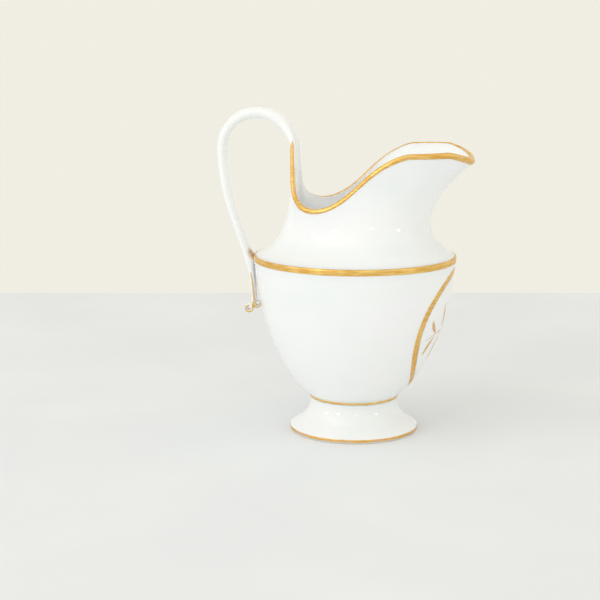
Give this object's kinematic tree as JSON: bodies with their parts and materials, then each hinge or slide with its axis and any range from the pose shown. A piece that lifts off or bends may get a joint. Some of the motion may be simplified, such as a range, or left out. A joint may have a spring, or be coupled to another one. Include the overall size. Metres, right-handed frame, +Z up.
{
  "type": "porcelain cream jug",
  "caption": "Footed porcelain cream jug with a sharp shoulder, a high pouring lip, a tall loop handle ending in a small double scroll, and gilt bands.",
  "frame": {"origin": "on the surface the foot rests on, under the middle of the jug's outline box, 5 mm behind the axis of the turned body", "axes": "+Z up, +X towards the spout, -X towards the handle, +Y to the jug's left when it pours away from you"},
  "size_m": [0.1254, 0.0996, 0.1597],
  "materials": {
    "porcelain": "clear gloss glaze over white hard-paste porcelain",
    "gilding": "burnished gold, worn on the lip and the foot"
  },
  "bodies": {
    "root": {"foot": "porcelain", "bowl": "porcelain", "neck": "porcelain", "handle": "porcelain", "handle_scroll": "porcelain", "lip_gilding": "gilding", "shoulder_band": "gilding", "waist_ring": "gilding", "foot_band": "gilding", "medallion_frame": "gilding", "sprig_stem": "gilding", "sprig_leaf_1": "gilding", "sprig_leaf_2": "gilding", "sprig_leaf_3": "gilding", "sprig_leaf_4": "gilding", "sprig_leaf_5": "gilding", "sprig_leaf_6": "gilding", "sprig_leaf_7": "gilding", "sprig_leaf_8": "gilding", "handle_top_stroke": "gilding", "handle_dot_1": "gilding", "handle_dot_2": "gilding", "handle_dot_3": "gilding", "handle_dot_4": "gilding", "handle_dot_5": "gilding", "handle_dot_6": "gilding", "handle_dot_7": "gilding", "handle_dot_8": "gilding", "handle_dot_9": "gilding", "handle_dot_10": "gilding", "tail_line_near": "gilding", "tail_line_far": "gilding"}
  },
  "joints": []
}
